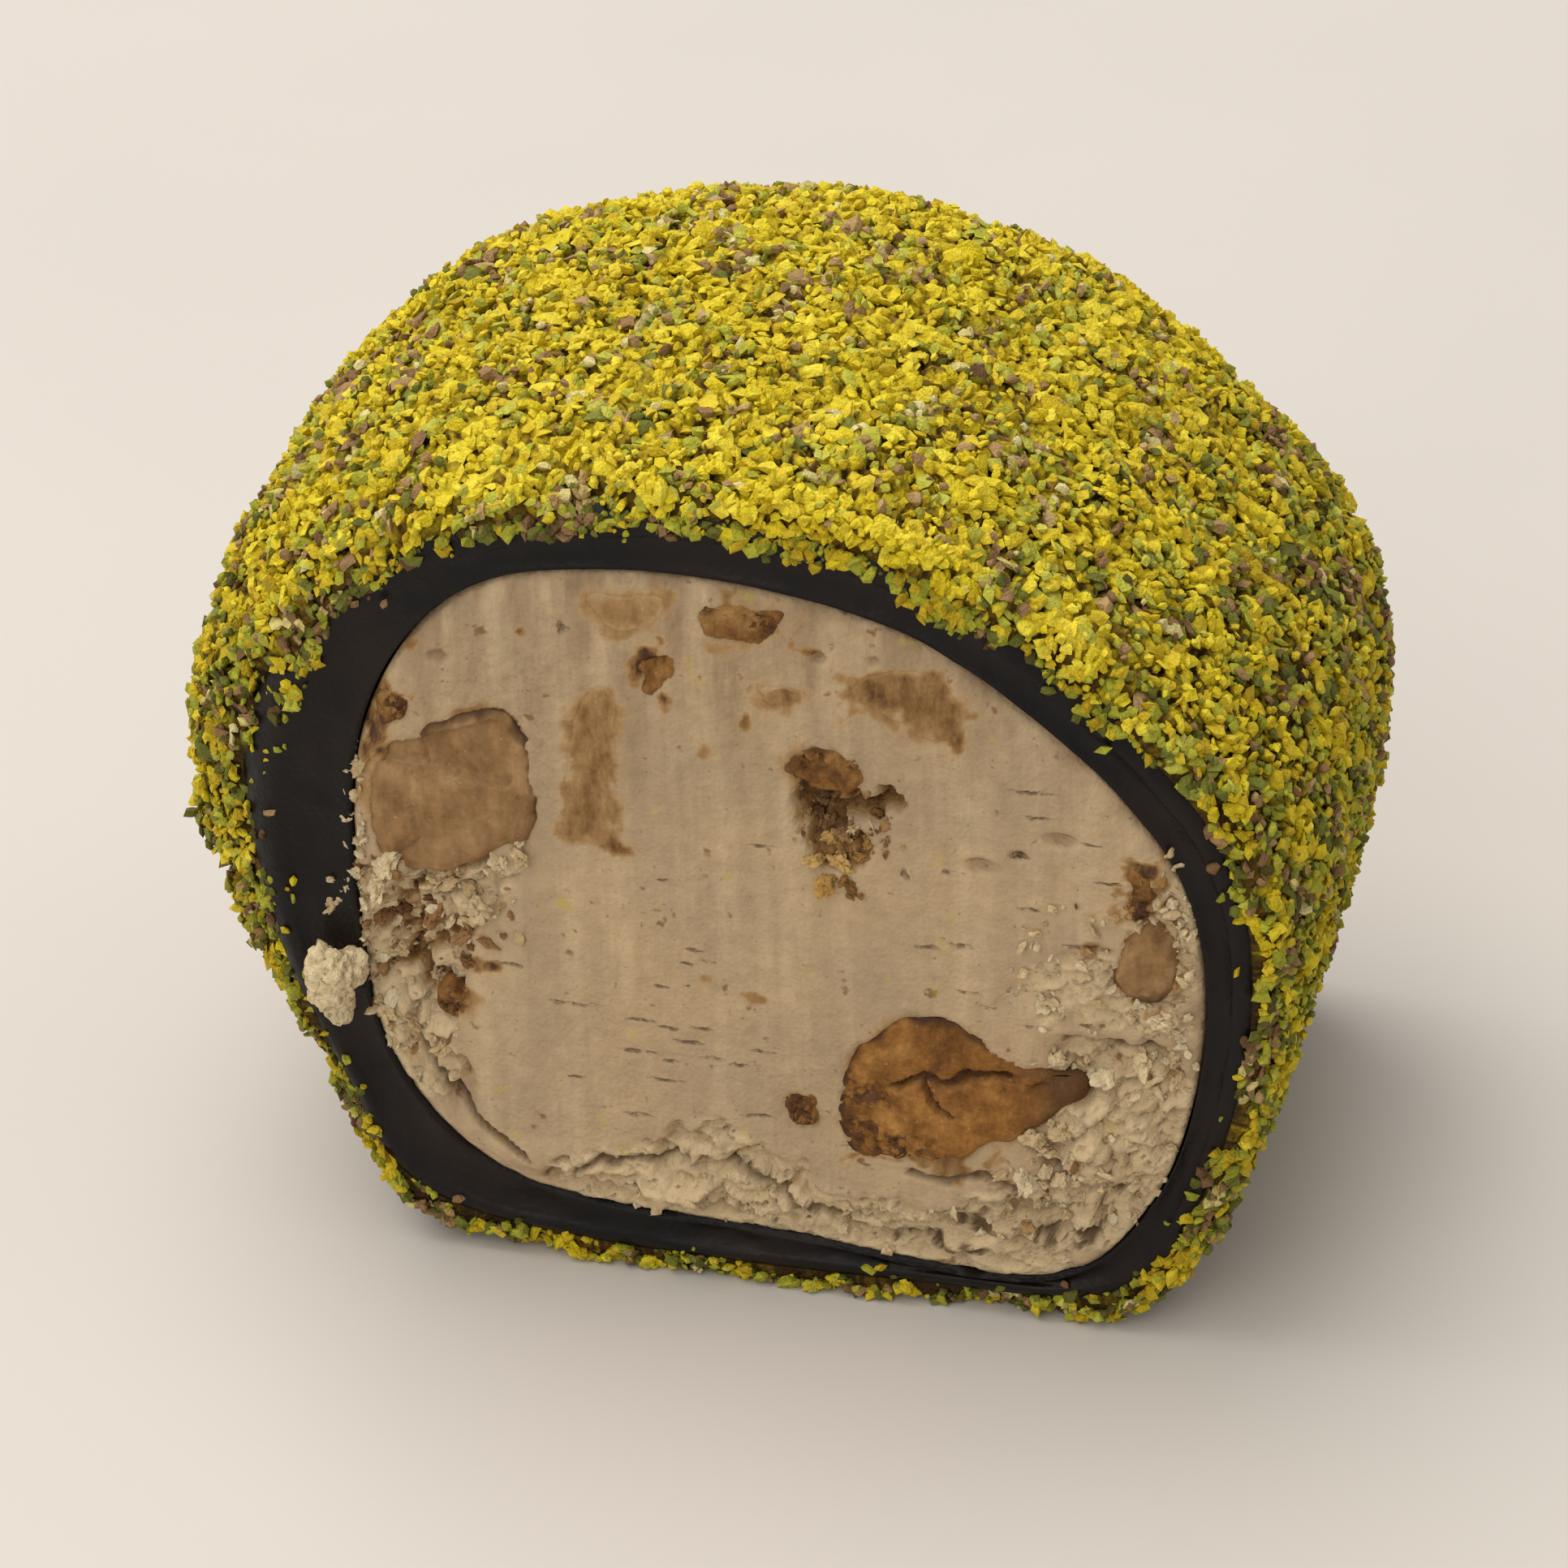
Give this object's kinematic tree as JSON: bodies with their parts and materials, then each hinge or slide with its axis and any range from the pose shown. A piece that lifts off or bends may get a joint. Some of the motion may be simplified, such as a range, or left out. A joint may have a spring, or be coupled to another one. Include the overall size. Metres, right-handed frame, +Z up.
{
  "type": "turkish delight roll",
  "caption": "Thick slice of a filled lokum roll: pale nut-studded filling inside a dark chewy wrap, coated in crushed pistachio, lying on its flattened underside.",
  "frame": {"origin": "on the surface the slice lies on, under the middle of its bounding box", "axes": "+Z up; -Y out of the front cut face; Y along the roll; X across the roll, +X to the right seen from the front"},
  "size_m": [0.0579, 0.0351, 0.0468],
  "materials": {
    "pistachio": "rough crushed nut crumbs, dry",
    "lokum": "dark soft lokum, satin on the cut",
    "cream": "dense pale filling with knife marks and torn crumbs",
    "nut": "cut roasted nut, slightly waxy"
  },
  "bodies": {
    "root": {"coat": "pistachio", "wrap": "lokum", "filling": "cream", "nut_left": "nut", "nut_right": "nut", "nut_streak": "nut", "nut_centre": "nut", "nut_upper": "nut", "nut_top": "nut", "nut_top_left": "nut", "nut_edge": "nut", "nut_edge_small": "nut", "nut_bit_upper": "nut", "nut_bit_middle": "nut", "nut_bit_low": "nut", "nut_bit_corner": "nut", "nut_bit_crumbly": "nut", "nut_back_large": "nut", "nut_back_high": "nut", "nut_back_low": "nut", "nut_back_left": "nut", "nut_back_right": "nut", "nut_back_bit_a": "nut", "nut_back_bit_b": "nut", "nut_back_bit_c": "nut"}
  },
  "joints": []
}
